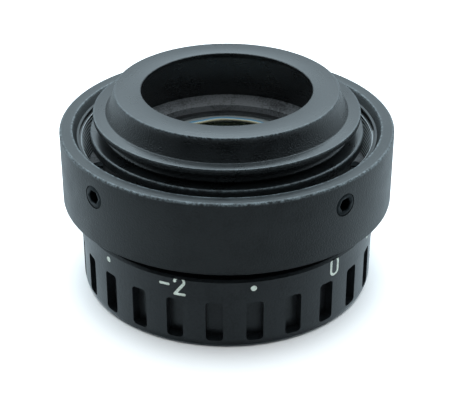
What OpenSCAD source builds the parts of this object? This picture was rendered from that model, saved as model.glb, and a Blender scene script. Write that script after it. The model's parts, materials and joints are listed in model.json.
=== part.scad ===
// Focusing eyepiece of a darkroom grain focuser: a magnifier whose lens cell is
// raised and lowered by a dioptre ring with cam grooves.
// It stands on the eye-side foot of the dioptre ring, with the mounting side up.
// The optical axis is Z, the foot is at z = 0, and the front faces -Y.

/* [Lens cell] */
// Outside diameter of the sliding lens cell
cell_d = 25; // [20:0.5:32]
// Length of the lens cell
cell_len = 16; // [15:0.1:18]
// Wall of the lens cell
cell_wall = 1.1; // [0.9:0.05:1.5]
// Height of the cell's eye end above the foot
cell_z = 1.6; // [1.4:0.1:2.2]
// Radius of the outer, convex lens surfaces
crown_r = 40; // [34:1:60]
// Radius of the cemented lens surfaces
cement_r = 28; // [24:1:40]
// Edge thickness of each crown lens
crown_edge = 0.8; // [0.5:0.05:1.2]
// Centre thickness of each flint lens
flint_centre = 1.3; // [1:0.1:1.8]
// Width of the ledge that holds a lens at its edge
retainer_w = 0.8; // [0.5:0.05:1.2]

/* [Focusing] */
// Rise of the lens cell in one turn of the dioptre ring
lead = 7.5; // [5:0.5:9]
// Turn of the ring for one dioptre, in degrees
step_deg = 30; // [24:1:32]
// Largest reading on either side of zero
top_reading = 4; // [3:1:4]
// Reading that the ring stands at
rest_reading = 3; // [0:1:3]
// Number of follower pins and cam grooves
pins = 3; // [2:1:3]
// Diameter of a follower pin
pin_d = 1; // [0.8:0.1:1.2]
// Diameter of the roller on a follower pin
roller_d = 1.6; // [1.4:0.1:1.8]
// Height of the follower pins above the foot
pin_z = 5.2; // [5:0.1:5.6]

/* [Guide tube] */
// Wall of the guide tube
guide_wall = 2.05; // [1.6:0.05:2.6]
// Height of the guide tube's eye end above the foot
guide_z = 1.2; // [0.9:0.1:1.6]
// Drop from the collar's rim to the top of the guide tube
guide_drop = 2.65; // [2.2:0.05:3.2]
// Width of the sloping mouth of the guide tube
mouth_slope_w = 1.5; // [1.1:0.05:1.8]
// Height of the sloping mouth of the guide tube
mouth_slope_h = 0.89; // [0.6:0.01:1.2]
// Thickness of the guide tube's flange
tube_flange_t = 1.6; // [1.3:0.1:1.8]

/* [Nose] */
// Rise of the nose above the collar's rim
nose_rise = 4.9; // [4.4:0.1:6]
// Diameter of the opening in the nose
mouth_d = 21.8; // [18:0.1:24]
// Height of the narrow land in the opening
mouth_land = 0.68; // [0.4:0.02:1]
// Room around the lens cell at the top of the nose
chamber_gap = 0.7; // [0.5:0.05:0.9]
// Wall of the nose at its top
nose_wall = 1.22; // [0.9:0.02:1.6]
// Outward sweep of the neck below the top face
neck_sweep = 1.1; // [0.7:0.05:1.3]
// Rise of the flange above the collar's rim
flange_rise = 2.13; // [1.8:0.01:2.5]
// Thickness of the flange
flange_t = 0.7; // [0.5:0.05:1]
// Depth of the seal groove below the flange
groove_depth = 1.58; // [1.2:0.02:1.8]
// Drop from the collar's rim to the locating lip
lip_drop = 0.39; // [0.2:0.01:0.6]
// Thickness of the locating lip
lip_t = 1.2; // [0.9:0.05:1.5]
// Reach of the locating lip past the flange
lip_reach = 0.5; // [0.3:0.05:0.8]

/* [Mounting collar] */
// Height of the collar
collar_h = 9.74; // [8.4:0.02:12]
// Wall of the collar outside the mounting thread
collar_wall = 2.5; // [2.2:0.05:3.5]
// Gap between the lip and the mounting thread, for the mating tube's wall
tube_gap = 1.4; // [1.1:0.05:1.8]
// Width of the flat rim
rim_land = 1.68; // [1.2:0.02:1.9]
// Width of the lead-in cone inside the rim
rim_cone_w = 0.5; // [0.2:0.02:0.6]
// Height of the lead-in cone inside the rim
rim_cone_h = 0.98; // [0.5:0.02:1.4]
// Thickness of the collar's floor
floor_t = 1.6; // [1.4:0.1:2]
// Chamfer at the collar's lower edge
collar_chamfer = 0.15; // [0.1:0.05:0.6]
// Number of grub screws
grubs = 4; // [2:1:6]
// Thread diameter of a grub screw
grub_d = 3; // [2:0.5:3]
// Length of a grub screw
grub_len = 2; // [1.6:0.1:2.1]
// Width across flats of a grub screw's socket
grub_af = 1.5; // [0.9:0.1:1.5]
// Drop from the rim to the grub screws
grub_drop = 3.12; // [2.8:0.02:4]
// Direction of the first grub screw, in degrees
grub_az = -48.7; // [-90:0.1:0]

/* [Dioptre ring] */
// Height of the dioptre ring
ring_h = 11.8; // [11.5:0.1:14]
// Wall of the cam sleeve inside the ring
cam_wall = 1.75; // [1.5:0.05:2.1]
// Wall of the ring behind the grip slots
ring_wall = 1.6; // [1.3:0.05:2]
// Number of grip slots
grips = 24; // [12:1:30]
// Depth of a grip slot
grip_depth = 1.35; // [0.6:0.05:1.4]
// Width of a grip slot
grip_w = 2.15; // [1:0.05:2.4]
// Height of a grip slot
grip_h = 5.6; // [4:0.05:5.7]
// Height of the foot below the grip slots
foot_h = 1.1; // [0.8:0.05:1.2]
// Height of the line between the grips and the scale band
band_z = 7; // [7:0.1:7.4]
// Height of the top of the scale band
band_top = 9.95; // [9.7:0.05:11]
// Direction of the first grip slot, in degrees
grip_az = -94.7; // [-100:0.1:-85]
// Direction of the zero of the scale, in degrees
zero_az = -50.3; // [-90:0.1:0]

/* [Scale] */
// Height of a numeral
digit_h = 2.8; // [2.4:0.1:3.4]
// Width of a numeral
digit_w = 1.6; // [1.4:0.05:2]
// Width of an engraved line
stroke = 0.4; // [0.3:0.05:0.55]
// Diameter of a dot
dot_d = 0.8; // [0.4:0.05:0.9]
// Height of the dots above the band line
dot_rise = 1.75; // [1.2:0.05:2.2]
// Depth of the engraving
engrave = 0.15; // [0.08:0.01:0.2]

/* [Fits] */
// Radial clearance of the lens cell in the guide tube
slide_fit = 0.05; // [0.02:0.01:0.08]
// Radial clearance of the cam sleeve on the guide tube
turn_fit = 0.05; // [0.02:0.01:0.08]
// Clearance round a roller in its slot and groove
roller_fit = 0.06; // [0.04:0.01:0.1]
// Gap between parts that are screwed or pressed together
seat_fit = 0.02; // [0.01:0.01:0.03]
// Axial clearance of the turning ring at each washer
axial_fit = 0.1; // [0.05:0.01:0.15]
// Gap between the turning ring and the collar
turn_gap = 0.3; // [0.3:0.05:0.4]

/* [Hidden] */
$fn = 96;
eps = 0.01;
reach = 40;                 // longer than any cut has to be

// Radii, from the lens cell outwards
cell_r = cell_d / 2;
seat_r = cell_r - cell_wall;
lens_r = seat_r - seat_fit;
retainer_r = seat_r - retainer_w;
guide_bore_r = cell_r + slide_fit;
guide_r = guide_bore_r + guide_wall;
cam_bore_r = guide_r + turn_fit;
cam_r = cam_bore_r + cam_wall;
grip_floor_r = cam_r + ring_wall;
ring_r = grip_floor_r + grip_depth;
cam_skin = 0.65;            // wall left behind a cam groove
cam_floor_r = cam_r - cam_skin;
chamber_low_r = guide_bore_r + mouth_slope_w;
chamber_top_r = cell_r + chamber_gap;
nose_r = chamber_top_r + nose_wall;
neck_r = nose_r + neck_sweep;
flange_r = neck_r + groove_depth;
lip_r = flange_r + lip_reach;
skirt_wall = 1.6;
skirt_r = guide_r + skirt_wall;             // outside of the nose's screwed skirt
thread_r = lip_r + tube_gap;
collar_r = thread_r + collar_wall;
rim_r = collar_r - rim_land;
tube_flange_gap = 0.6;
tube_flange_r = thread_r - tube_flange_gap;
screw_r = (guide_r + tube_flange_r) / 2;

// Heights, from the foot upwards
cap_seat = 0.2;             // room between the nose cap and the guide tube's flange
collar_z = ring_h + turn_gap;
floor_z = collar_z + floor_t;
tube_flange_z = floor_z + tube_flange_t;
rim_z = collar_z + collar_h;
grub_z = rim_z - grub_drop;
guide_top = rim_z - guide_drop;
lip_z = rim_z - lip_drop;
flange_z = rim_z + flange_rise;
nose_z = rim_z + nose_rise;
cell_top = cell_z + cell_len;
retainer_t = 1.4;           // thickness of the ring retainer
retainer_z = guide_z + retainer_t;
washer_t = 0.2;
washer_gap = 0.1;           // room between a washer and the guide tube
cam_z = retainer_z + washer_t + axial_fit;

// Travel of the lens cell, and the cam groove and guide slot that carry it
rise_per_deg = lead / 360;
travel_down = (top_reading - rest_reading) * step_deg * rise_per_deg;
travel_up = (top_reading + rest_reading) * step_deg * rise_per_deg;
track_h = roller_d + 2 * roller_fit;
track_low = pin_z - travel_down - track_h / 2;
track_top = pin_z + travel_up + track_h / 2;
pin_az = 75;                // direction of the first follower pin
index_az = zero_az + rest_reading * step_deg;

// Lens heights: how far a curved surface falls from its centre to a radius
function fall(r, at_r) = r - sqrt(r * r - at_r * at_r);
function sag(r) = fall(r, lens_r);
seat_rise = sag(crown_r) - fall(crown_r, retainer_r);
crown_t = crown_edge + sag(cement_r);       // edge plane to cemented apex
doublet_edge = crown_edge + flint_centre + sag(cement_r);
cement_gap = 0.02;
lens_recess = 0.2;          // from the end of the cell to the field lens's edge
retainer_proud = 0.3;       // rise of the field retainer above the cell
eye_rest = 0.3;             // from the end of the cell to the eye lens's centre
field_edge_z = cell_top - lens_recess;
eye_edge_z = cell_z + sag(crown_r) + eye_rest;

band_chamfer = 0.3;
mouth_r = mouth_d / 2;
hub_step = 0.2;
hub_r = grip_floor_r + hub_step;            // reduced hub above the scale band
tube_screw_r = 0.8;         // M1.6 countersunk screws
tube_screw_head_r = 1.5;
tube_screw_head_h = 0.7;
tube_screw_sunk = 0.1;      // depth of a screw's ends below the faces around them
key_r = 0.5;                // locking keys between the ring and the cam sleeve
key_len = 3.6;
pin_drop = 0.15;            // room between a pin's end and the groove's floor
roller_end_gap = 0.1;       // room at each end of a roller

black = "#2b3135";
brass = "#b08d3f";
steel = "#8d9295";
paint = "#d4dcd2";
glass = "#9fb7bd";
plastic = "#e6e2d6";

module at_az(az, z) {
    // x runs round the axis, y runs up, and z points outwards
    rotate([90, 0, 90 + az]) translate([0, z, 0]) children();
}

module around(count, first) {
    for (i = [0 : count - 1]) rotate([0, 0, first + i * 360 / count]) children();
}

module ring_solid(r_in, r_out, z_low, z_top) {
    rotate_extrude()
        translate([r_in, z_low]) square([r_out - r_in, z_top - z_low]);
}

module radial_rod(r, from_r, to_r, z) {
    translate([from_r, 0, z]) rotate([0, 90, 0]) cylinder(r = r, h = to_r - from_r);
}

// ---------- numerals ----------

// A line of width w through points, round at each of them
module path_2d(points, w) {
    for (i = [1 : len(points) - 1]) {
        run = points[i] - points[i - 1];
        translate(points[i - 1]) rotate(atan2(run[1], run[0]))
            translate([0, -w / 2]) square([norm(run), w]);
    }
    for (point = points) translate(point) circle(d = w, $fn = 24);
}

// A bow from one angle to another, a little narrower than the round-ended lines it meets
module bow_2d(r, from, to, w) {
    steps = 16;
    half = w / 2 - eps;
    angles = [for (i = [0 : steps]) from + i * (to - from) / steps];
    polygon(concat(
        [for (a = angles) (r + half) * [cos(a), sin(a)]],
        [for (i = [steps : -1 : 0]) (r - half) * [cos(angles[i]), sin(angles[i])]]
    ));
}

module digit_0(w) {
    turn_r = (digit_w - stroke) / 2;
    side_h = digit_h / 2 - stroke / 2 - turn_r;
    for (side = [-1, 1]) {
        path_2d([[side * turn_r, -side_h], [side * turn_r, side_h]], w);
        translate([0, side * side_h]) rotate(side * 90 - 90) bow_2d(turn_r, 0, 180, w);
    }
}

module digit_2(w) {
    turn_r = (digit_w - stroke) / 2;
    bow_end = -30;
    foot_y = -digit_h / 2 + stroke / 2;
    turn_y = digit_h / 2 - stroke / 2 - turn_r;
    path_2d([[turn_r, foot_y], [-turn_r, foot_y],
             [turn_r * cos(bow_end), turn_y + turn_r * sin(bow_end)]], w);
    translate([0, turn_y]) bow_2d(turn_r, bow_end, 180, w);
    translate([-turn_r, turn_y]) circle(d = 1.15 * w, $fn = 24);    // ball at the start
}

module digit_4(w) {
    half_w = (digit_w - stroke) / 2;
    half_h = (digit_h - stroke) / 2;
    bar_y = -half_h * 0.4;
    stem_x = half_w * 0.4;
    path_2d([[stem_x, -half_h], [stem_x, half_h]], w);
    path_2d([[half_w, bar_y], [-half_w, bar_y], [stem_x, half_h]], w);
}

module sign_2d(reading, w) {
    half = 0.52;
    path_2d([[-half, 0], [half, 0]], w);
    if (reading > 0) path_2d([[0, -half], [0, half]], w);
}

module numeral(reading, w) {
    if (reading == 0) digit_0(w);
    if (abs(reading) == 2) digit_2(w);
    if (abs(reading) == 4) digit_4(w);
}

// Every mark of the scale, from from_r outwards, with its lines narrowed by inset
// on each side. Numerals stop at height top: they are taller than the scale band,
// so their tops run out at its edge.
module scale_shapes(from_r, depth, top, inset) {
    line_w = stroke - 2 * inset;
    digit_shift = 2.8;      // degrees from a reading to its numeral
    zero_shift = 4.2;       // the zero has no sign and stands further on
    sign_shift = -3.1;
    digit_rise = 0.3;       // from the band line to the foot of a numeral
    digit_z = band_z + digit_rise + digit_h / 2;
    for (reading = [-top_reading : top_reading]) {
        az = zero_az + reading * step_deg;
        if (reading % 2 != 0)
            at_az(az, band_z + dot_rise) translate([0, 0, from_r])
                cylinder(d = dot_d - 2 * inset, h = depth, $fn = 24);
        else {
            shift = reading == 0 ? zero_shift : digit_shift;
            at_az(az + shift, 0) translate([0, 0, from_r]) linear_extrude(depth)
                intersection() {
                    translate([0, digit_z]) numeral(reading, line_w);
                    translate([-digit_w, band_z]) square([2 * digit_w, top - band_z]);
                }
            if (reading != 0)
                at_az(az + sign_shift, digit_z) translate([0, 0, from_r])
                    linear_extrude(depth) sign_2d(reading, line_w);
        }
    }
}

// ---------- fixed parts ----------

module index_shape(from_r, depth) {
    mark_h = 2;
    mark_rise = 0.4;
    at_az(index_az, collar_z + collar_chamfer + mark_rise)
        translate([-stroke / 2, 0, from_r]) cube([stroke, mark_h, depth]);
}

module mounting_collar() {
    rim_edge = 0.15;
    color(black) difference() {
        rotate_extrude() polygon([
            [guide_r + seat_fit, collar_z],
            [collar_r - collar_chamfer, collar_z],
            [collar_r, collar_z + collar_chamfer],
            [collar_r, rim_z - rim_edge],
            [collar_r - rim_edge, rim_z],
            [rim_r, rim_z],
            [rim_r - rim_cone_w, rim_z - rim_cone_h],
            [thread_r, rim_z - rim_cone_h],
            [thread_r, floor_z],
            [guide_r + seat_fit, floor_z]
        ]);
        around(grubs, grub_az) radial_rod(grub_d / 2, thread_r - 1, collar_r + 1, grub_z);
        around(4, 0) translate([screw_r, 0, collar_z - eps])
            cylinder(r = tube_screw_r, h = floor_t + 2 * eps, $fn = 32);
        index_shape(collar_r - engrave, 1);
    }
}

module collar_grub_screws() {
    sunk = 0.06;
    face_r = collar_r - sunk;
    screw_r_out = grub_d / 2 - seat_fit;
    tip = 0.4;
    socket_depth = 0.6 * grub_len;
    color(steel) around(grubs, grub_az) difference() {
        translate([face_r, 0, grub_z]) rotate([0, -90, 0]) rotate_extrude() polygon([
            [0, 0], [screw_r_out, 0], [screw_r_out, grub_len - tip],
            [screw_r_out - tip, grub_len], [0, grub_len]
        ]);
        translate([face_r + eps, 0, grub_z]) rotate([0, -90, 0])
            cylinder(d = grub_af / cos(30), h = socket_depth, $fn = 6);
    }
}

module index_mark() {
    color(paint) index_shape(collar_r - engrave + seat_fit, engrave - 2 * seat_fit);
}

module nose_cap() {
    neck_steps = 6;
    neck_h = nose_z - flange_z;
    top_edge = 0.12;
    corner = 0.5;           // round at the foot of the seal groove
    lip_edge = 0.15;
    cap_foot_z = tube_flange_z + cap_seat;
    skirt_bore_r = guide_r + seat_fit;
    color(black) rotate_extrude() polygon(concat(
        [[mouth_r, nose_z - mouth_land], [mouth_r, nose_z - top_edge],
         [mouth_r + top_edge, nose_z], [nose_r - top_edge, nose_z]],
        [for (i = [0 : neck_steps]) let (t = i / neck_steps)
            [nose_r + neck_sweep * pow(t, 1.5), nose_z - top_edge - (neck_h - top_edge) * t]],
        [[flange_r, flange_z], [flange_r, flange_z - flange_t],
         [neck_r, flange_z - flange_t]],
        [for (i = [0 : 3]) let (a = 180 + 30 * i)
            [neck_r + corner + corner * cos(a), lip_z + corner + corner * sin(a)]],
        [[lip_r - lip_edge, lip_z], [lip_r, lip_z - lip_edge], [lip_r, lip_z - lip_t],
         [skirt_r, lip_z - lip_t], [skirt_r, cap_foot_z], [skirt_bore_r, cap_foot_z],
         [skirt_bore_r, guide_top + seat_fit], [chamber_low_r, guide_top + seat_fit],
         [chamber_top_r, nose_z - mouth_land]]
    ));
}

// A countersunk screw, made larger all round by gap
module tube_screw_shape(gap) {
    rim_low = tube_flange_z - tube_screw_sunk;
    end_z = collar_z + tube_screw_sunk - gap;
    translate([screw_r, 0, 0]) rotate_extrude() polygon([
        [0, end_z], [tube_screw_r + gap, end_z],
        [tube_screw_r + gap, rim_low - tube_screw_head_h], [tube_screw_head_r + gap, rim_low],
        [tube_screw_head_r + gap, tube_flange_z + gap], [0, tube_flange_z + gap]
    ]);
}

module guide_tube() {
    slot_w = roller_d + 2 * roller_fit;
    color(black) difference() {
        rotate_extrude() polygon([
            [guide_bore_r, guide_z], [guide_r, guide_z], [guide_r, floor_z + seat_fit],
            [tube_flange_r, floor_z + seat_fit], [tube_flange_r, tube_flange_z],
            [guide_r, tube_flange_z], [guide_r, guide_top], [chamber_low_r, guide_top],
            [guide_bore_r, guide_top - mouth_slope_h]
        ]);
        around(pins, pin_az) {
            for (z = [track_low + slot_w / 2, track_top - slot_w / 2])
                radial_rod(slot_w / 2, cell_r - 1, guide_r + 1, z);
            translate([cell_r - 1, -slot_w / 2, track_low + slot_w / 2])
                cube([guide_wall + 3, slot_w, track_top - track_low - slot_w]);
        }
        around(4, 0) tube_screw_shape(seat_fit);
    }
}

module tube_screws() {
    slot_w = 0.4;
    slot_depth = 0.4;
    color(steel) around(4, 0) difference() {
        tube_screw_shape(0);
        translate([screw_r - tube_screw_head_r - 1, -slot_w / 2, tube_flange_z - slot_depth])
            cube([2 * tube_screw_head_r + 2, slot_w, 1]);
    }
}

module upper_thrust_washer() {
    color(plastic)
        ring_solid(guide_r + washer_gap, hub_r - turn_gap, collar_z - washer_t, collar_z);
}

module lower_thrust_washer() {
    color(plastic)
        ring_solid(guide_r + washer_gap, cam_r - 2 * washer_gap, retainer_z, retainer_z + washer_t);
}

module ring_retainer() {
    out_r = cam_r + 0.5;
    slot_w = 1.2;           // four slots for the wrench
    slot_depth = 0.6;
    slot_from_r = guide_r + 0.7;
    color(black) difference() {
        ring_solid(guide_r + seat_fit, out_r, guide_z, retainer_z);
        around(4, 45) translate([slot_from_r, -slot_w / 2, guide_z - 1])
            cube([reach, slot_w, slot_depth + 1]);
    }
}

// ---------- turning parts ----------

module key_places(r, extra) {
    around(3, 30) translate([cam_r, 0, cam_z - extra]) cylinder(r = r, h = key_len + extra, $fn = 32);
}

module dioptre_ring() {
    rib_r = ring_r - 0.08;
    foot_r = ring_r - 0.8;
    foot_in_r = cam_r + 0.8;
    corner = 0.5;
    color(black) difference() {
        rotate_extrude() polygon(concat(
            [[foot_in_r, 0], [foot_r, 0]],
            [for (i = [1 : 4]) let (a = 22.5 * i)
                [foot_r + (rib_r - foot_r) * sin(a), foot_h * (1 - cos(a))]],
            [[rib_r, band_z], [ring_r, band_z + 0.05],
             [ring_r, band_top - band_chamfer], [ring_r - band_chamfer, band_top],
             [hub_r, band_top], [hub_r, ring_h], [cam_r + seat_fit, ring_h],
             [cam_r + seat_fit, cam_z], [foot_in_r, cam_z]]
        ));
        for (i = [0 : grips - 1])
            at_az(grip_az + i * 360 / grips, foot_h) translate([0, 0, grip_floor_r])
                linear_extrude(grip_depth + 1) {
                    for (x = [-1, 1], y = [corner, grip_h - corner])
                        translate([x * (grip_w / 2 - corner), y]) circle(r = corner, $fn = 24);
                    translate([-grip_w / 2, corner]) square([grip_w, grip_h - 2 * corner]);
                    translate([corner - grip_w / 2, 0]) square([grip_w - 2 * corner, grip_h]);
                }
        scale_shapes(ring_r - engrave, 1, ring_h, 0);
        key_places(key_r + seat_fit, eps);
    }
}

module scale_marks() {
    color(paint) scale_shapes(ring_r - engrave + seat_fit, engrave - 2 * seat_fit,
        band_top - band_chamfer - seat_fit, seat_fit);
}

module cam_grooves() {
    // Three-start left-hand groove: it falls by the lead in each turn
    groove_w = track_h / rise_per_deg;
    height = track_top - track_low;
    start = pin_az + (pin_z - track_low) / rise_per_deg;
    intersection() {
        translate([0, 0, track_low]) rotate([0, 0, start])
            linear_extrude(height, twist = height / rise_per_deg, slices = 48, $fn = 4)
                for (i = [0 : pins - 1]) rotate(i * 360 / pins)
                    polygon([for (r = [guide_bore_r, 1.3 * cam_r], k = [-2 : 2])
                        let (a = (r > cam_r ? k : -k) * groove_w / 4) [r * cos(a), r * sin(a)]]);
        ring_solid(cam_bore_r - 1, cam_floor_r, 0, ring_h);
    }
}

module cam_sleeve() {
    color(brass) difference() {
        ring_solid(cam_bore_r, cam_r, cam_z, ring_h);
        cam_grooves();
        key_places(key_r + seat_fit, eps);
    }
}

module cam_keys() {
    color(steel) key_places(key_r, 0);
}

// ---------- sliding parts ----------

module lens_cell() {
    edge = 0.25;
    color(black) difference() {
        rotate_extrude() polygon([
            [seat_r, cell_z], [cell_r - edge, cell_z], [cell_r, cell_z + edge],
            [cell_r, cell_top - edge], [cell_r - edge, cell_top], [seat_r, cell_top]
        ]);
        around(pins, pin_az) radial_rod(pin_d / 2, seat_r - 1, cell_r + 1, pin_z);
    }
}

module follower_pins() {
    pin_inset = 0.05;
    color(steel) around(pins, pin_az)
        radial_rod(pin_d / 2 - seat_fit, seat_r + pin_inset, cam_floor_r - pin_drop, pin_z);
}

module follower_rollers() {
    color(brass) around(pins, pin_az) difference() {
        radial_rod(roller_d / 2, cell_r + roller_end_gap, cam_floor_r - pin_drop - roller_end_gap,
            pin_z);
        radial_rod(pin_d / 2, cell_r, cam_r, pin_z);
    }
}

// A lens retainer whose sloping underside rests on the crown lens at z = 0
module retainer(h) {
    notch_w = 1.4;
    notch_depth = 0.25;
    flare = 0.2;
    difference() {
        rotate_extrude() polygon([
            [lens_r, seat_fit], [retainer_r, seat_rise + seat_fit],
            [retainer_r + flare, h], [lens_r, h]
        ]);
        translate([-reach / 2, -notch_w / 2, h - notch_depth]) cube([reach, notch_w, 1]);
    }
}

module field_retainer() {
    color(black) translate([0, 0, field_edge_z]) retainer(lens_recess + retainer_proud);
}

module eye_retainer() {
    retainer_sunk = 0.1;
    color(black) translate([0, 0, eye_edge_z]) mirror([0, 0, 1])
        retainer(eye_edge_z - cell_z - retainer_sunk);
}

// A crown lens whose outer edge plane is z = 0 and whose cemented side is below
module crown() {
    intersection() {
        translate([0, 0, -crown_t - 1]) cylinder(r = lens_r, h = crown_t + sag(crown_r) + 2);
        translate([0, 0, sag(crown_r) - crown_r]) sphere(r = crown_r);
        translate([0, 0, cement_r - crown_t]) sphere(r = cement_r);
    }
}

module flint() {
    difference() {
        translate([0, 0, -doublet_edge])
            cylinder(r = lens_r, h = doublet_edge - crown_edge - cement_gap);
        translate([0, 0, cement_r - crown_t - cement_gap]) sphere(r = cement_r);
    }
}

module field_crown() { color(glass) translate([0, 0, field_edge_z]) crown(); }
module field_flint() { color(glass) translate([0, 0, field_edge_z]) flint(); }
module eye_crown() { color(glass) translate([0, 0, eye_edge_z]) mirror([0, 0, 1]) crown(); }
module eye_flint() { color(glass) translate([0, 0, eye_edge_z]) mirror([0, 0, 1]) flint(); }

module lens_spacer() {
    color(black) ring_solid(retainer_r, lens_r,
        eye_edge_z + doublet_edge + seat_fit, field_edge_z - doublet_edge - seat_fit);
}

mounting_collar();
collar_grub_screws();
index_mark();
nose_cap();
guide_tube();
tube_screws();
upper_thrust_washer();
lower_thrust_washer();
ring_retainer();
dioptre_ring();
scale_marks();
cam_sleeve();
cam_keys();
lens_cell();
follower_pins();
follower_rollers();
field_retainer();
field_crown();
field_flint();
lens_spacer();
eye_flint();
eye_crown();
eye_retainer();
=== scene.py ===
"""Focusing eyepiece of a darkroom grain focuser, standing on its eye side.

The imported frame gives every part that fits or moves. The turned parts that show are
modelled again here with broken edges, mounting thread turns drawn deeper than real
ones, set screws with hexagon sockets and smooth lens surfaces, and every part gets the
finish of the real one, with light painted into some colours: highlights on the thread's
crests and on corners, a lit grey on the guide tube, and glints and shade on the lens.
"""
import json
import math

import bpy
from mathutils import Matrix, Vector


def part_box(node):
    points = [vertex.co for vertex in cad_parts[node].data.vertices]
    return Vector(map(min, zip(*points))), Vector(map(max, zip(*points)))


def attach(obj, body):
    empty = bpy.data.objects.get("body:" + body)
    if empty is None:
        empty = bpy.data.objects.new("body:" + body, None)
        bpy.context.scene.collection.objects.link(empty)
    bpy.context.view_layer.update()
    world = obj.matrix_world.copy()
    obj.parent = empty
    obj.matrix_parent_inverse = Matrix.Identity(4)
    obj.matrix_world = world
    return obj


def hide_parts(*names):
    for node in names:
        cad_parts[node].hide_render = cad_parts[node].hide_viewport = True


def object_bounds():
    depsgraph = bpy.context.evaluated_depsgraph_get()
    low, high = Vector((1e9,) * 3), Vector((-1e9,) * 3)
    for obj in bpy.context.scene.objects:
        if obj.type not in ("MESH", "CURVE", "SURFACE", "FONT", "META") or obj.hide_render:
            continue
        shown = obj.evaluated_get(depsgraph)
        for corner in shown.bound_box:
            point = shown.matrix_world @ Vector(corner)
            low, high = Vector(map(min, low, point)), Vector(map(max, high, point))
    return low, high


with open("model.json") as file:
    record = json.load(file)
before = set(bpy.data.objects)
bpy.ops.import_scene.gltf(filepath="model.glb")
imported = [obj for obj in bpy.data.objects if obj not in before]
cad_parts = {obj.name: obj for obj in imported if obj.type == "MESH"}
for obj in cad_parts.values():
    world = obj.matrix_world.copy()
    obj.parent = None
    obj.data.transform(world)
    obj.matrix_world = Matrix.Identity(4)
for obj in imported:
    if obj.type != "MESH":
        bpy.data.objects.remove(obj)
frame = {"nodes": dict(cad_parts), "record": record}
cad_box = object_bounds()
nodes = frame["nodes"]


def mm(value):
    return value * 0.001


# ---------- sizes in millimetres ----------
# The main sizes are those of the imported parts, with two exceptions. The thread's ridge is
# 0.57 mm deep, about twice a real one, so that its turns show, and its root is wider than
# the plain bore of THREAD_R. The set screws' inner ends reach 0.24 mm further in.

STEPS = 192                 # flats round a turned part
SMOOTH_ANGLE = math.radians(28)     # sharper edges than this stay crisp on a turned part
FOOT_Z = cad_box[0].z * 1000
RIM_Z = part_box("mounting_collar")[1].z * 1000
NOSE_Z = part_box("nose_cap")[1].z * 1000
COLLAR_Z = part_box("mounting_collar")[0].z * 1000
COLLAR_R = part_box("mounting_collar")[1].x * 1000
THREAD_R = 19.0
THREAD_PITCH = 0.5
THREAD_DEPTH = 0.27         # reach of the ridge inside THREAD_R
THREAD_ROOT_R = 19.3
THREAD_TURNS = 12
COLLAR_EDGE = 0.15          # broken edge of the collar's outside
RIM_W = 1.68                # flat of the collar's rim
CONE_IN = 0.5               # how far the cone under the rim narrows
CONE_FOOT_Z = RIM_Z - 0.98
COLLAR_FLOOR_Z = COLLAR_Z + 1.6
GUIDE_R = 14.6
SEAT = 0.02                 # gap between parts that are screwed or pressed together
GRUB_AZ = -48.7
GRUBS = 4
GRUB_Z = RIM_Z - 3.12
GRUB_R = 1.5
SCREW_FACE_R = COLLAR_R - 0.06
SCREW_TIP_R = 19.2
SOCKET_ACROSS = 1.5
SOCKET_DEPTH = 1.2
TUBE_SCREW_AT = 16.5
TUBE_SCREW_R = 0.8
INDEX_AZ = 39.7
NOSE_R = 14.42
MOUTH_R = 10.9
NECK_SWEEP = 1.1            # how much the neck widens down to the flange
FLANGE_OUT = 1.58           # how far the flange stands out from the neck
FLANGE_Z = RIM_Z + 2.13
LIP_R = 17.6
LIP_Z = RIM_Z - 0.39
LENS_R = 11.38
CROWN_R = 40.0
CEMENT_R = 28.0
CROWN_EDGE = 0.8
FLINT_CENTRE = 1.3
CEMENT_GAP = 0.02           # keeps the two glasses' faces from lying in one place

# ---------- materials ----------


def linear(hex_colour):
    """An sRGB hex colour as the linear RGBA that the shaders take."""
    parts = [int(hex_colour[i:i + 2], 16) / 255 for i in (1, 3, 5)]
    return [c / 12.92 if c <= 0.04045 else ((c + 0.055) / 1.055) ** 2.4 for c in parts] + [1.0]


def add_node(tree, kind, settings=(), links=()):
    """Adds one node; settings are (name, value) pairs, links are (input, output socket)."""
    node = tree.nodes.new(kind)
    for name, value in settings:
        if isinstance(name, int) or name in node.inputs:
            node.inputs[name].default_value = value
        else:
            setattr(node, name, value)
    for name, socket in links:
        tree.links.new(socket, node.inputs[name])
    return node


def new_material(name, hex_colour, roughness, metallic=0.0, ior=1.5):
    material = bpy.data.materials.new(name)
    material.use_nodes = True
    shader = material.node_tree.nodes["Principled BSDF"]
    shader.inputs["Base Color"].default_value = linear(hex_colour)
    shader.inputs["Roughness"].default_value = roughness
    shader.inputs["Metallic"].default_value = metallic
    shader.inputs["IOR"].default_value = ior
    return material, material.node_tree, shader


def turned_surface(tree):
    """Coordinates that run across a lathe's marks: distance from the axis, and height."""
    place = add_node(tree, "ShaderNodeTexCoord")
    split = add_node(tree, "ShaderNodeSeparateXYZ", links=[("Vector", place.outputs["Object"])])
    xx = add_node(tree, "ShaderNodeMath", [("operation", "MULTIPLY")],
                  [(0, split.outputs["X"]), (1, split.outputs["X"])])
    rr = add_node(tree, "ShaderNodeMath", [("operation", "MULTIPLY_ADD")],
                  [(0, split.outputs["Y"]), (1, split.outputs["Y"]), (2, xx.outputs["Value"])])
    radius = add_node(tree, "ShaderNodeMath", [("operation", "SQRT")], [(0, rr.outputs["Value"])])
    across = add_node(tree, "ShaderNodeCombineXYZ",
                      links=[("X", radius.outputs["Value"]), ("Y", split.outputs["Z"])])
    return place, radius, across


def round_the_axis(tree, place):
    """The direction in which a turned part's marks run."""
    return add_node(tree, "ShaderNodeVectorMath",
                    [("operation", "CROSS_PRODUCT"), (0, (0, 0, 1))],
                    [(1, place.outputs["Object"])])


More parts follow.
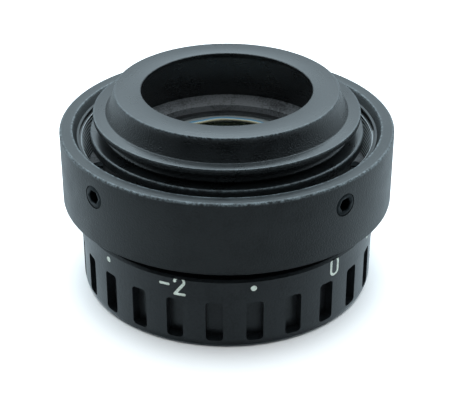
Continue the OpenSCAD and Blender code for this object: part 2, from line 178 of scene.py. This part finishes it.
def anodised_aluminium(name, hex_colour, roughness, ior, grain_mm, grain_depth_mm, brushed=0.0,
                       corners=(), edge_highlight_hex="#5a6468"):
    """Turned aluminium, dyed black and sealed: a clear dark skin over the metal.

    The skin's cool sheen grows towards grazing light. Faces that point up keep the
    lathe's rings, which draw the light out across them; the walls are finely blasted
    and sparkle a little.
    """
    material, tree, shader = new_material(name, hex_colour, roughness, ior=ior)
    place, _, across = turned_surface(tree)
    facing = add_node(tree, "ShaderNodeSeparateXYZ", links=[("Vector", place.outputs["Normal"])])
    upward = add_node(tree, "ShaderNodeMapRange",
                      [("From Min", 0.75), ("From Max", 0.95),
                       ("interpolation_type", "SMOOTHSTEP")],
                      [("Value", facing.outputs["Z"])])
    # turning marks 0.1 mm apart are too fine to show and are drawn at 0.25 mm
    marks = add_node(tree, "ShaderNodeTexNoise",
                     [("Scale", 1 / mm(0.25)), ("Detail", 2.0), ("Roughness", 0.7)],
                     [("Vector", across.outputs["Vector"])])
    grain = add_node(tree, "ShaderNodeTexNoise",
                     [("Scale", 1 / mm(grain_mm)), ("Detail", 1.0), ("Roughness", 0.5)],
                     [("Vector", place.outputs["Object"])])
    # patches of dye a few millimetres across, slightly lighter or darker
    dye = add_node(tree, "ShaderNodeTexNoise",
                   [("Scale", 1 / mm(3.5)), ("Detail", 3.0), ("Roughness", 0.6)],
                   [("Vector", place.outputs["Object"])])
    mottled = add_node(tree, "ShaderNodeMath", [("operation", "MULTIPLY_ADD"), (1, 0.8)],
                       [(0, grain.outputs["Fac"]), (2, dye.outputs["Fac"])])
    tone = add_node(tree, "ShaderNodeValToRGB", links=[("Fac", mottled.outputs["Value"])])
    base = linear(hex_colour)
    tone.color_ramp.elements[0].position = 0.6
    tone.color_ramp.elements[0].color = [c * 0.5 for c in base[:3]] + [1]
    tone.color_ramp.elements[1].position = 1.0
    tone.color_ramp.elements[1].color = [c * 1.8 for c in base[:3]] + [1]
    tree.links.new(tone.outputs["Color"], shader.inputs["Base Color"])
    if corners:
        # corners are painted paler than the faces, in uneven specks under a millimetre long: a
        # painted highlight on the edges
        edge_highlight_specks = add_node(tree, "ShaderNodeTexNoise",
                          [("Scale", 1 / mm(0.45)), ("Detail", 4.0), ("Roughness", 0.8)],
                          [("Vector", place.outputs["Object"])])
        patchy = add_node(tree, "ShaderNodeMapRange",
                          [("From Min", 0.42), ("From Max", 0.62)],
                          [("Value", edge_highlight_specks.outputs["Fac"])])
        nearest = None
        for corner_r, corner_z in corners:
            away = add_node(tree, "ShaderNodeVectorMath",
                            [("operation", "DISTANCE"), (1, (mm(corner_r), mm(corner_z), 0))],
                            [(0, across.outputs["Vector"])])
            if nearest is None:
                nearest = away
            else:
                nearest = add_node(tree, "ShaderNodeMath", [("operation", "MINIMUM")],
                                   [(0, nearest.outputs["Value"]), (1, away.outputs["Value"])])
        close = add_node(tree, "ShaderNodeMapRange",
                         [("From Min", mm(0.08)), ("From Max", mm(0.3)), ("To Min", 1.0),
                          ("To Max", 0.0)], [("Value", nearest.outputs["Value"])])
        amount = add_node(tree, "ShaderNodeMath", [("operation", "MULTIPLY")],
                          [(0, close.outputs["Result"]), (1, patchy.outputs["Result"])])
        painted_edge_highlight = add_node(tree, "ShaderNodeMix", [("data_type", "RGBA"), (7, linear(edge_highlight_hex))],
                         [(0, amount.outputs["Value"]), (6, tone.outputs["Color"])])
        tree.links.new(painted_edge_highlight.outputs[2], shader.inputs["Base Color"])
    worn = add_node(tree, "ShaderNodeMath", [("operation", "MULTIPLY_ADD"), (1, 0.5)],
                    [(0, marks.outputs["Fac"]), (2, dye.outputs["Fac"])])
    sheen_spread = add_node(tree, "ShaderNodeMapRange",
                            [("From Min", 0.5), ("From Max", 1.0),
                             ("To Min", roughness - 0.06), ("To Max", roughness + 0.06)],
                            [("Value", worn.outputs["Value"])])
    tree.links.new(sheen_spread.outputs["Result"], shader.inputs["Roughness"])
    bump_marks = add_node(tree, "ShaderNodeBump", [("Distance", mm(0.02))],
                          [("Height", marks.outputs["Fac"]),
                           ("Strength", upward.outputs["Result"])])
    wall = add_node(tree, "ShaderNodeMath", [("operation", "SUBTRACT"), (0, 1.15)],
                    [(1, upward.outputs["Result"])])
    bump = add_node(tree, "ShaderNodeBump", [("Distance", mm(grain_depth_mm))],
                    [("Height", grain.outputs["Fac"]), ("Strength", wall.outputs["Value"]),
                     ("Normal", bump_marks.outputs["Normal"])])
    tree.links.new(bump.outputs["Normal"], shader.inputs["Normal"])
    if brushed:
        shader.inputs["Anisotropic"].default_value = brushed
        tree.links.new(round_the_axis(tree, place).outputs["Vector"], shader.inputs["Tangent"])
    return material


def turned_metal(name, hex_colour, roughness):
    """Bare turned metal: bright, with fine turning marks round the axis."""
    material, tree, shader = new_material(name, hex_colour, roughness, metallic=1.0)
    across = turned_surface(tree)[2]
    marks = add_node(tree, "ShaderNodeTexNoise",
                     [("Scale", 1 / mm(0.15)), ("Detail", 3.0), ("Roughness", 0.65)],
                     [("Vector", across.outputs["Vector"])])
    spread = add_node(tree, "ShaderNodeMapRange",
                      [("From Min", 0.3), ("From Max", 0.7),
                       ("To Min", roughness - 0.08), ("To Max", roughness + 0.1)],
                      [("Value", marks.outputs["Fac"])])
    tree.links.new(spread.outputs["Result"], shader.inputs["Roughness"])
    bump = add_node(tree, "ShaderNodeBump", [("Strength", 0.8), ("Distance", mm(0.004))],
                    [("Height", marks.outputs["Fac"])])
    tree.links.new(bump.outputs["Normal"], shader.inputs["Normal"])
    return material


def thread_with_painted_crest_highlights():
    """Fine thread in black anodised aluminium: near black, with painted highlights as pale lines on
    the crests and painted shade in the roots.

    The paleness goes by distance from the axis.
    """
    material, tree, shader = new_material("anodised_thread_painted_crest_highlights", "#0a0c0d", 0.35, ior=1.6)
    place, radius, _ = turned_surface(tree)
    highlight_wander = add_node(tree, "ShaderNodeTexNoise",
                    [("Scale", 1 / mm(1.5)), ("Detail", 2.0)],
                    [("Vector", place.outputs["Object"])])
    # the painted highlight reaches up to 0.04 mm further down the flanks in places
    reach = add_node(tree, "ShaderNodeMath", [("operation", "MULTIPLY_ADD"), (1, mm(0.04))],
                     [(0, highlight_wander.outputs["Fac"]), (2, radius.outputs["Value"])])
    depth = add_node(tree, "ShaderNodeMapRange",
                     [("From Min", mm(THREAD_R - THREAD_DEPTH)), ("From Max", mm(THREAD_R - 0.1))],
                     [("Value", reach.outputs["Value"])])
    # pale grey at the crests is a painted highlight; near black in the roots is painted shade
    tone = add_node(tree, "ShaderNodeValToRGB", links=[("Fac", depth.outputs["Result"])])
    tone.color_ramp.elements[0].position = 0.35
    tone.color_ramp.elements[0].color = linear("#8f999d")
    tone.color_ramp.elements[1].position = 0.6
    tone.color_ramp.elements[1].color = linear("#050606")
    tree.links.new(tone.outputs["Color"], shader.inputs["Base Color"])
    return material


def speckled(name, hex_colour, dark_hex, roughness, metallic, grain_mm, depth_mm):
    """A cast, oxidised or filled surface: two close tones in a fine uneven grain."""
    material, tree, shader = new_material(name, hex_colour, roughness, metallic=metallic)
    place = add_node(tree, "ShaderNodeTexCoord")
    grain = add_node(tree, "ShaderNodeTexNoise",
                     [("Scale", 1 / mm(grain_mm)), ("Detail", 4.0), ("Roughness", 0.6)],
                     [("Vector", place.outputs["Object"])])
    tone = add_node(tree, "ShaderNodeValToRGB", links=[("Fac", grain.outputs["Fac"])])
    tone.color_ramp.elements[0].position = 0.3
    tone.color_ramp.elements[0].color = linear(dark_hex)
    tone.color_ramp.elements[1].position = 0.6
    tone.color_ramp.elements[1].color = linear(hex_colour)
    tree.links.new(tone.outputs["Color"], shader.inputs["Base Color"])
    bump = add_node(tree, "ShaderNodeBump", [("Strength", 0.6), ("Distance", mm(depth_mm))],
                    [("Height", grain.outputs["Fac"])])
    tree.links.new(bump.outputs["Normal"], shader.inputs["Normal"])
    return material


def coated_glass():
    """Optical crown glass with a thin clear coat against reflections.

    The lens's edge is a painted reflection of grey light, with a painted blue and then a
    straw-coloured fringe just inside, and the middle is clear glass tinted dark, a painted
    shade. The rings are painted by distance from the axis, where the glass is mostly opaque;
    they don't come from light bent by the lenses.
    """
    material, tree, shader = new_material("optical_glass_painted_edge_glints", "#ffffff", 0.0, ior=1.52)
    place, radius, _ = turned_surface(tree)
    # the painted rings wander a little
    wander = add_node(tree, "ShaderNodeTexNoise",
                      [("Scale", 1 / mm(4.5)), ("Detail", 1.0)],
                      [("Vector", place.outputs["Object"])])
    shifted = add_node(tree, "ShaderNodeMath", [("operation", "MULTIPLY_ADD"), (1, mm(2.0))],
                       [(0, wander.outputs["Fac"]), (2, radius.outputs["Value"])])
    ring = add_node(tree, "ShaderNodeMapRange", [("From Min", mm(8.6)), ("From Max", mm(11.8))],
                    [("Value", shifted.outputs["Value"])])
    colour = add_node(tree, "ShaderNodeValToRGB", links=[("Fac", ring.outputs["Result"])])
    # painted reflection at the lens's edge: grey glint, then blue and straw fringes; the dark
    # middle is painted shade
    painted_glint_stops = [(0.0, "#2a3a34"), (0.14, "#6f6a4c"), (0.27, "#b3ac8a"), (0.40, "#9db3ba"),
             (0.50, "#3c87ad"), (0.62, "#8a9496"), (1.0, "#7f8887")]
    for spot, (position, tint) in enumerate(painted_glint_stops):
        if spot > 1:
            colour.color_ramp.elements.new(position)
        colour.color_ramp.elements[spot].position = position
        colour.color_ramp.elements[spot].color = linear(tint)
    clear = add_node(tree, "ShaderNodeMapRange",
                     [("From Min", 0.0), ("From Max", 0.35), ("To Min", 1.0), ("To Max", 0.15)],
                     [("Value", ring.outputs["Result"])])
    tree.links.new(colour.outputs["Color"], shader.inputs["Base Color"])
    tree.links.new(clear.outputs["Result"], shader.inputs["Transmission Weight"])
    return material


def clear_glass():
    """Flint glass inside the cell: clear and very slightly warm."""
    material, tree, shader = new_material("flint_glass", "#f4f1e4", 0.0, ior=1.62)
    place = add_node(tree, "ShaderNodeTexCoord")
    depth = add_node(tree, "ShaderNodeTexNoise", [("Scale", 1 / mm(8.0))],
                     [("Vector", place.outputs["Object"])])
    tone = add_node(tree, "ShaderNodeValToRGB", links=[("Fac", depth.outputs["Fac"])])
    tone.color_ramp.elements[0].color = linear("#f1eddd")
    tone.color_ramp.elements[1].color = linear("#fbfaf4")
    tree.links.new(tone.outputs["Color"], shader.inputs["Base Color"])
    shader.inputs["Transmission Weight"].default_value = 1.0
    return material


# blasting grit of 0.1 mm is too fine to show; the grain is drawn at 0.2 to 0.3 mm
blasted = anodised_aluminium("black_anodised_aluminium_blasted", "#0e1112", 0.40, 1.58, 0.22, 0.035,
                             corners=((COLLAR_R - 0.08, RIM_Z - 0.08), (COLLAR_R - RIM_W, RIM_Z)))
machined = anodised_aluminium("black_anodised_aluminium_turned", "#090b0c", 0.30, 1.68, 0.2, 0.045,
                              brushed=0.5, edge_highlight_hex="#3a4347",
                              corners=((NOSE_R - 0.06, NOSE_Z - 0.06),
                                       (NOSE_R + NECK_SWEEP + FLANGE_OUT, FLANGE_Z),
                                       (LIP_R - 0.08, LIP_Z - 0.08)))
ring_finish = anodised_aluminium("black_anodised_aluminium_ring", "#101315", 0.34, 1.6, 0.3, 0.02)
inner = anodised_aluminium("black_anodised_aluminium_inside", "#1b1d1e", 0.45, 1.6, 0.3, 0.03)
# the guide tube is black anodised too; its grey base is painted light, so that its top ledge inside
# the nose looks lit
tube_finish_painted_lighter = anodised_aluminium("black_anodised_aluminium_tube_painted_lighter", "#5c6063", 0.45, 1.6, 0.25, 0.02)
# black oxide on steel: a dark grey skin that still shines like metal
oxide = speckled("black_oxide_steel", "#2b2f31", "#1a1d1e", 0.4, 1.0, 0.3, 0.004)
# ground steel: bright grey, with fine streaks
steel = turned_metal("ground_steel", "#9a9c9d", 0.3)
# turned brass: yellow metal, with fine bright rings
brass = turned_metal("turned_brass", "#b5934a", 0.28)
# paint wiped into engraving: matt, pale greenish grey, a little uneven
enamel = speckled("white_enamel_fill", "#c9d2c8", "#aab4a9", 0.55, 0.0, 0.25, 0.01)
# moulded acetal: ivory white, dull and even
washer = speckled("acetal_washer", "#d8d4c6", "#cbc7b8", 0.5, 0.0, 0.6, 0.006)
glass = coated_glass()
flint_glass = clear_glass()

slot_finish = {
    "black_anodised": machined, "black_oxide_steel": oxide, "steel": steel, "brass": brass,
    "white_fill": enamel, "washer_plastic": washer, "coated_glass": flint_glass,
}
for row in frame["record"]["subparts"]:
    part = nodes[row["node"]]
    part.data.materials.clear()
    part.data.materials.append(slot_finish[row["material_slot"]])
nodes["dioptre_ring"].data.materials[0] = ring_finish
for name in ("lens_spacer", "field_retainer", "lens_cell"):
    nodes[name].data.materials[0] = inner
nodes["guide_tube"].data.materials[0] = tube_finish_painted_lighter

# ---------- pieces modelled ------------------


def select_only(piece):
    bpy.ops.object.select_all(action="DESELECT")
    piece.select_set(True)
    bpy.context.view_layer.objects.active = piece


def new_primitive(adder, **settings):
    """Adds a primitive with nothing else selected."""
    bpy.ops.object.select_all(action="DESELECT")
    adder(**settings)
    return bpy.context.object


def edit(piece):
    select_only(piece)
    bpy.ops.object.mode_set(mode="EDIT")
    bpy.ops.mesh.select_all(action="SELECT")


def leave_edit():
    bpy.ops.object.mode_set(mode="OBJECT")


def place_in_mesh(piece):
    select_only(piece)
    bpy.ops.object.transform_apply(location=True, rotation=True, scale=True)


def turn_to(piece, azimuth):
    """Turns a piece round the axis, in degrees, and puts that in its mesh."""
    piece.rotation_euler = (0, 0, math.radians(azimuth))
    place_in_mesh(piece)


def apply_modifier(piece, kind, **settings):
    select_only(piece)
    bpy.ops.object.modifier_add(type=kind)
    modifier = piece.modifiers[-1]
    for name, value in settings.items():
        setattr(modifier, name, value)
    bpy.ops.object.modifier_apply(modifier=modifier.name)


def turned(name, section, steps=STEPS, edge=0.05):
    """Turns a part on the axis from its section: (radius, height) points in order.

    A section that starts and ends on the axis closes there; any other one is closed
    back to its first point. Edges are broken by the given width.
    """
    pole = 1e-4             # share of the first ring that is merged to a point on the axis
    on_axis = section[0][0] == 0
    path = list(section) if on_axis else list(section) + [section[0]]
    start_r = path[0][0] or path[1][0]
    piece = new_primitive(bpy.ops.mesh.primitive_circle_add, vertices=steps, radius=mm(start_r),
                          location=(0, 0, mm(path[0][1])))
    piece.name = name
    place_in_mesh(piece)
    edit(piece)
    r_now, z_now = start_r, path[0][1]
    if on_axis:
        bpy.ops.transform.resize(value=(pole, pole, 1), center_override=(0, 0, 0))
        r_now = start_r * pole
    for r, z in path[1:]:
        target = max(r, start_r * pole)
        bpy.ops.mesh.extrude_edges_move(TRANSFORM_OT_translate={"value": (0, 0, mm(z - z_now))})
        grow = target / r_now
        bpy.ops.transform.resize(value=(grow, grow, 1), center_override=(0, 0, 0))
        r_now, z_now = target, z
    bpy.ops.mesh.select_all(action="SELECT")
    bpy.ops.mesh.remove_doubles(threshold=mm(0.002))
    bpy.ops.mesh.normals_make_consistent(inside=False)
    leave_edit()
    if edge:
        apply_modifier(piece, "BEVEL", width=mm(edge), segments=2, limit_method="ANGLE",
                       angle_limit=math.radians(35), use_clamp_overlap=True)
    bpy.ops.object.shade_smooth_by_angle(angle=SMOOTH_ANGLE)
    return piece


def finish_piece(piece, material, body, slot, *stands_for):
    piece.data.materials.clear()
    piece.data.materials.append(material)
    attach(piece, body)
    if stands_for:
        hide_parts(*stands_for)
    return piece


def radial_rod(radius, from_r, to_r, height, sides=48):
    """A rod lying along the X axis between two distances from the axis of the object."""
    rod = new_primitive(bpy.ops.mesh.primitive_cylinder_add, vertices=sides, radius=mm(radius),
                        depth=mm(to_r - from_r),
                        location=(mm((from_r + to_r) / 2), 0, mm(height)),
                        rotation=(0, math.pi / 2, 0))
    place_in_mesh(rod)
    return rod


def cut_away(piece, cutter):
    apply_modifier(piece, "BOOLEAN", operation="DIFFERENCE", object=cutter, solver="EXACT")
    bpy.data.objects.remove(cutter, do_unlink=True)


def upright_cutter(radius, at_r, azimuth, low, high, sides=32):
    """A round cutter standing upright at a distance from the axis."""
    angle = math.radians(azimuth)
    cutter = new_primitive(
        bpy.ops.mesh.primitive_cylinder_add,
        vertices=sides, radius=mm(radius), depth=mm(high - low),
        location=(mm(at_r) * math.cos(angle), mm(at_r) * math.sin(angle), mm((low + high) / 2)))
    place_in_mesh(cutter)
    return cutter


def mounting_collar():
    """The collar: rim, cone under it, threaded bore, floor, and the holes for its screws."""
    edge = COLLAR_EDGE
    rim_inner = COLLAR_R - RIM_W
    thread_top, runout = 0.25, 0.5      # below the cone: full bore, then the thread's root
    through = 1                         # how far a cutter stands out of what it cuts
    collar = turned("collar_with_rim", [
        (GUIDE_R + SEAT, COLLAR_Z), (COLLAR_R - edge, COLLAR_Z), (COLLAR_R, COLLAR_Z + edge),
        (COLLAR_R, RIM_Z - edge), (COLLAR_R - edge, RIM_Z), (rim_inner, RIM_Z),
        (rim_inner - CONE_IN, CONE_FOOT_Z), (THREAD_R, CONE_FOOT_Z),
        (THREAD_R, CONE_FOOT_Z - thread_top), (THREAD_ROOT_R, CONE_FOOT_Z - runout),
        (THREAD_ROOT_R, COLLAR_FLOOR_Z), (GUIDE_R + SEAT, COLLAR_FLOOR_Z),
    ], edge=0.06)
    for turn in range(GRUBS):
        hole = radial_rod(GRUB_R, THREAD_R - through, COLLAR_R + through, GRUB_Z)
        turn_to(hole, GRUB_AZ + 90 * turn)
        cut_away(collar, hole)
        cut_away(collar, upright_cutter(TUBE_SCREW_R, TUBE_SCREW_AT, 90 * turn,
                                        COLLAR_Z - through, COLLAR_FLOOR_Z + through))
    # the index mark's pocket: 0.4 mm wide, 2 mm high and 0.15 mm deep
    wide, high, deep, rise = 0.4, 2, 0.15, 0.4
    pocket = new_primitive(bpy.ops.mesh.primitive_cube_add, size=1,
                           location=(mm(COLLAR_R - deep + 0.5), 0,
                                     mm(COLLAR_Z + edge + rise + high / 2)))
    pocket.scale = (mm(1), mm(wide), mm(high))
    place_in_mesh(pocket)
    turn_to(pocket, INDEX_AZ)
    cut_away(collar, pocket)
    select_only(collar)
    bpy.ops.object.shade_smooth_by_angle(angle=SMOOTH_ANGLE)
    return finish_piece(collar, blasted, "mount", "black_anodised", "mounting_collar")


def mounting_thread():
    """The inside thread: one closed ridge wound up the bore.

    It isn't cut where the set screws pass, so their inner ends stand in the ridge.
    """
    sunk = 0.06             # how far the ridge is sunk into the collar's wall
    slim = 0.3              # its thickness as a share of its height
    low = CONE_FOOT_Z - 0.3 - THREAD_TURNS * THREAD_PITCH
    height = THREAD_ROOT_R + sunk - (THREAD_R - THREAD_DEPTH)
    thread = new_primitive(bpy.ops.mesh.primitive_circle_add, vertices=4, radius=mm(height),
                           location=(mm(THREAD_ROOT_R + sunk), 0, mm(low)),
                           rotation=(math.pi / 2, 0, 0))
    thread.name = "collar_thread_turns"
    thread.scale = (1, slim, 1)
    place_in_mesh(thread)
    apply_modifier(thread, "SCREW", angle=2 * math.pi, screw_offset=mm(THREAD_PITCH),
                   iterations=THREAD_TURNS, steps=120, render_steps=120,
                   use_merge_vertices=False)
    edit(thread)
    bpy.ops.mesh.remove_doubles(threshold=mm(0.001))
    bpy.ops.mesh.fill_holes(sides=6)
    bpy.ops.mesh.select_all(action="SELECT")
    bpy.ops.mesh.normals_make_consistent(inside=False)
    leave_edit()
    bpy.ops.object.shade_smooth_by_angle(angle=math.radians(40))
    return finish_piece(thread, thread_with_painted_crest_highlights(), "mount", "black_anodised")


def nose_cap():
    """The stepped nose: mouth, swept neck, flange, groove for a seal, and locating lip."""
    top_edge = 0.12
    flange_t, lip_t, lip_edge = 0.7, 1.2, 0.15
    groove_corner = 0.5     # radius in the groove's corner, above the lip
    skirt_r, cell_bore_r, mouth_back_r = 16.2, 14.05, 13.2
    neck_r = NOSE_R + NECK_SWEEP
    neck_h = NOSE_Z - FLANGE_Z - top_edge
    neck = [(NOSE_R + NECK_SWEEP * (i / 16) ** 1.5, NOSE_Z - top_edge - neck_h * i / 16)
            for i in range(17)]
    corner = [(neck_r + groove_corner + groove_corner * math.cos(math.radians(180 + 15 * i)),
               LIP_Z + groove_corner + groove_corner * math.sin(math.radians(180 + 15 * i)))
              for i in range(7)]
    foot_z = COLLAR_FLOOR_Z + 1.6 + 0.2     # the tube's flange, and a gap above it
    mouth_low = NOSE_Z - 0.68
    shoulder_z = RIM_Z - 2.65 + SEAT
    nose = turned("nose_with_seal_groove", [
        (MOUTH_R, mouth_low), (MOUTH_R, NOSE_Z - top_edge), (MOUTH_R + top_edge, NOSE_Z),
        (NOSE_R - top_edge, NOSE_Z), *neck, (neck_r + FLANGE_OUT, FLANGE_Z),
        (neck_r + FLANGE_OUT, FLANGE_Z - flange_t), (neck_r, FLANGE_Z - flange_t), *corner,
        (LIP_R - lip_edge, LIP_Z), (LIP_R, LIP_Z - lip_edge), (LIP_R, LIP_Z - lip_t),
        (skirt_r, LIP_Z - lip_t), (skirt_r, foot_z), (GUIDE_R + SEAT, foot_z),
        (GUIDE_R + SEAT, shoulder_z), (cell_bore_r, shoulder_z), (mouth_back_r, mouth_low),
    ], edge=0.05)
    return finish_piece(nose, machined, "mount", "black_anodised", "nose_cap")


def set_screws():
    """Flat-ended set screws with hexagon sockets, modelled once and copied."""
    first = radial_rod(GRUB_R - SEAT, SCREW_TIP_R, SCREW_FACE_R, GRUB_Z)
    socket = radial_rod(SOCKET_ACROSS / math.sqrt(3), SCREW_FACE_R - SOCKET_DEPTH,
                        SCREW_FACE_R + SOCKET_DEPTH, GRUB_Z, sides=6)
    cut_away(first, socket)
    apply_modifier(first, "BEVEL", width=mm(0.14), segments=2, limit_method="ANGLE",
                   angle_limit=math.radians(50), use_clamp_overlap=True)
    bpy.ops.object.shade_smooth_by_angle(angle=math.radians(30))
    for turn in range(GRUBS):
        screw = first.copy()
        screw.data = first.data.copy()
        screw.name = "set_screw_%d" % (turn + 1)
        bpy.context.scene.collection.objects.link(screw)
        turn_to(screw, GRUB_AZ + 90 * turn)
        finish_piece(screw, oxide, "mount", "black_oxide_steel", "collar_grub_screws")
    bpy.data.objects.remove(first, do_unlink=True)


def sag(radius, at_r=LENS_R):
    return radius - math.sqrt(radius * radius - at_r * at_r)


def doublet(prefix, edge_z, up):
    """A crown and a flint cemented together; up is 1 with the crown above, -1 below."""
    rings = 20
    crown_t = CROWN_EDGE + sag(CEMENT_R)
    radii = [LENS_R * i / rings for i in range(rings + 1)]
    outer = [(r, edge_z + up * (sag(CROWN_R) - sag(CROWN_R, r))) for r in radii]
    cement = [(r, edge_z - up * (crown_t - sag(CEMENT_R, r))) for r in reversed(radii)]
    crown = turned(prefix + "_crown_lens", outer + cement, edge=0.0)
    flint_low = edge_z - up * (CROWN_EDGE + FLINT_CENTRE + sag(CEMENT_R))
    bed = [(r, z - up * CEMENT_GAP) for r, z in reversed(cement)]
    flint = turned(prefix + "_flint_lens", bed + [(LENS_R, flint_low), (0, flint_low)], edge=0.0)
    finish_piece(crown, glass, "cell", "coated_glass", prefix + "_crown")
    finish_piece(flint, flint_glass, "cell", "coated_glass", prefix + "_flint")


mounting_collar()
mounting_thread()
nose_cap()
set_screws()
doublet("field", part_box("field_crown")[1].z * 1000 - sag(CROWN_R), 1)
doublet("eye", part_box("eye_crown")[0].z * 1000 + sag(CROWN_R), -1)

# ---------- studio ----------


def studio_floor():
    """Pale matt paper, just under the object's foot: near white, with no shine."""
    floor = new_primitive(bpy.ops.mesh.primitive_plane_add, size=6,
                          location=(0, 0, mm(FOOT_Z - 0.02)))
    floor.name = "floor"
    material, _, shader = new_material("pale_paper_floor", "#f4f4f4", 0.9)
    shader.inputs["Specular IOR Level"].default_value = 0.0
    floor.data.materials.append(material)
    floor.visible_glossy = False


def soft_light(name, place, target, size, power, tint="#ffffff"):
    """A rectangular lamp; place, target and size are in metres, power in watts."""
    data = bpy.data.lights.new(name, "AREA")
    data.shape = "RECTANGLE"
    data.size, data.size_y = size
    data.energy = power
    data.color = linear(tint)[:3]
    lamp = bpy.data.objects.new(name, data)
    bpy.context.scene.collection.objects.link(lamp)
    lamp.location = place
    direction = Vector(target) - Vector(place)
    lamp.rotation_euler = direction.to_track_quat("-Z", "Y").to_euler()
    return lamp


def studio_world():
    """A pale table below; above it dark in front, brighter to the back and overhead."""
    world = bpy.data.worlds.new("studio")
    bpy.context.scene.world = world
    world.use_nodes = True
    tree = world.node_tree
    background = tree.nodes["Background"]
    direction = add_node(tree, "ShaderNodeTexCoord")
    axes = add_node(tree, "ShaderNodeSeparateXYZ",
                    links=[("Vector", direction.outputs["Generated"])])
    table = add_node(tree, "ShaderNodeMapRange",
                     [("From Min", -0.8), ("From Max", 0.5), ("To Min", 0.34), ("To Max", 1.1)],
                     [("Value", axes.outputs["Y"])])
    under = add_node(tree, "ShaderNodeMapRange",
                     [("From Min", -0.85), ("From Max", -0.6), ("To Min", 0.1), ("To Max", 1.0)],
                     [("Value", axes.outputs["Z"])])
    shaded_table = add_node(tree, "ShaderNodeMath", [("operation", "MULTIPLY")],
                            [(0, table.outputs["Result"]), (1, under.outputs["Result"])])
    walls = add_node(tree, "ShaderNodeMapRange",
                     [("From Min", -0.5), ("From Max", 0.6), ("To Min", 0.03), ("To Max", 0.8),
                      ("interpolation_type", "SMOOTHSTEP")],
                     [("Value", axes.outputs["Y"])])
    ceiling = add_node(tree, "ShaderNodeMapRange",
                       [("From Min", 0.3), ("From Max", 0.7), ("To Min", 1.0), ("To Max", 4.0),
                        ("interpolation_type", "SMOOTHSTEP")],
                       [("Value", axes.outputs["Z"])])
    above = add_node(tree, "ShaderNodeMath", [("operation", "MULTIPLY")],
                     [(0, walls.outputs["Result"]), (1, ceiling.outputs["Result"])])
    horizon = add_node(tree, "ShaderNodeMapRange",
                       [("From Min", -0.3), ("From Max", -0.02),
                        ("interpolation_type", "SMOOTHSTEP")],
                       [("Value", axes.outputs["Z"])])
    strength = add_node(tree, "ShaderNodeMix", [("data_type", "FLOAT")],
                        [(0, horizon.outputs["Result"]), (2, shaded_table.outputs["Value"]),
                         (3, above.outputs["Value"])])
    background.inputs["Color"].default_value = linear("#dff4ff")
    tree.links.new(strength.outputs[0], background.inputs["Strength"])
    world.cycles.sampling_method = "NONE"


def studio_camera():
    """The camera stands in front and above, in metres, and looks down on the object."""
    data = bpy.data.cameras.new("camera")
    camera = bpy.data.objects.new("camera", data)
    bpy.context.scene.collection.objects.link(camera)
    camera.location = (0, -0.15475, 0.09789)
    camera.rotation_euler = (math.radians(60.4), 0, math.radians(-0.15))
    data.sensor_width = 36
    data.lens = 104.53
    data.clip_start = 0.01
    data.clip_end = 20
    bpy.context.scene.camera = camera


studio_floor()
studio_world()
overhead = soft_light("overhead_fill", (0, 0, 0.9), (0, 0, 0), (1.2, 1.2), 14)
overhead.visible_glossy = False
studio_camera()
bpy.context.scene.view_settings.view_transform = "Standard"
